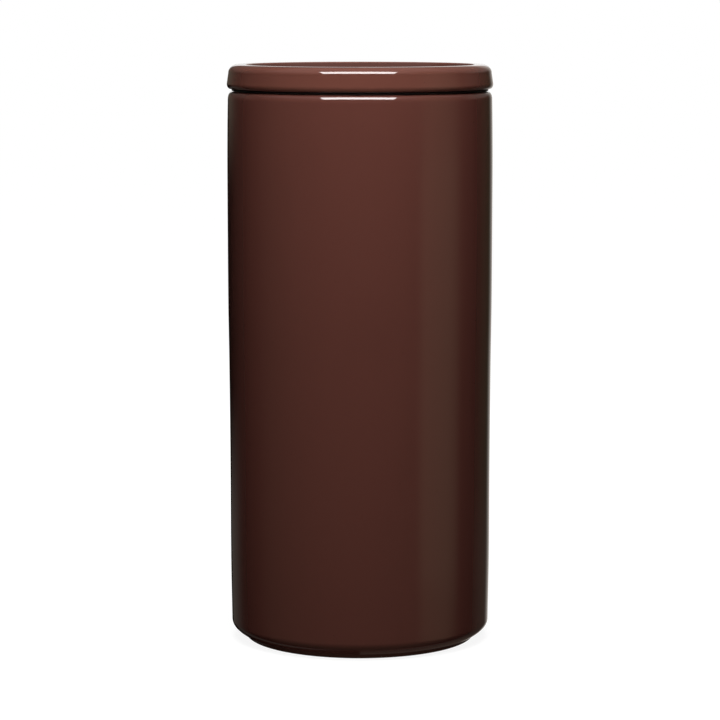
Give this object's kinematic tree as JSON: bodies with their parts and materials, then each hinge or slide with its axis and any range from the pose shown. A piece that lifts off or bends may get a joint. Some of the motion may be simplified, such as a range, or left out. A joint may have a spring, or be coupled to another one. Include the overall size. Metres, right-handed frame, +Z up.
{
  "type": "ceramic storage jar",
  "caption": "Tall round glazed stoneware storage jar on a low foot ring, with a flat recessed lid that lifts off and turns on a soft seal.",
  "frame": {"origin": "centre of the foot ring, on the surface that the jar stands on", "axes": "+Z up along the axis that every piece is turned about; X and Y are any two square directions, because the jar is round"},
  "size_m": [0.1212, 0.1212, 0.2642],
  "materials": {
    "jar_glaze": "high-gloss dark reddish brown glaze",
    "lid_glaze": "high-gloss dark reddish brown glaze",
    "seal_silicone": "matt charcoal silicone"
  },
  "bodies": {
    "jar": {"jar_body": "jar_glaze"},
    "seal": {"seal_ring": "seal_silicone"},
    "lid": {"lid": "lid_glaze"}
  },
  "joints": [
    {"name": "lid_lift", "type": "slide", "parent": "jar", "child": "seal", "axis": [0, 0, 1], "range_m": [0, 0.12]},
    {"name": "lid_turn", "type": "hinge", "parent": "seal", "child": "lid", "pos_m": [0, 0, 0.2533], "axis": [0, 0, 1], "continuous": true}
  ]
}
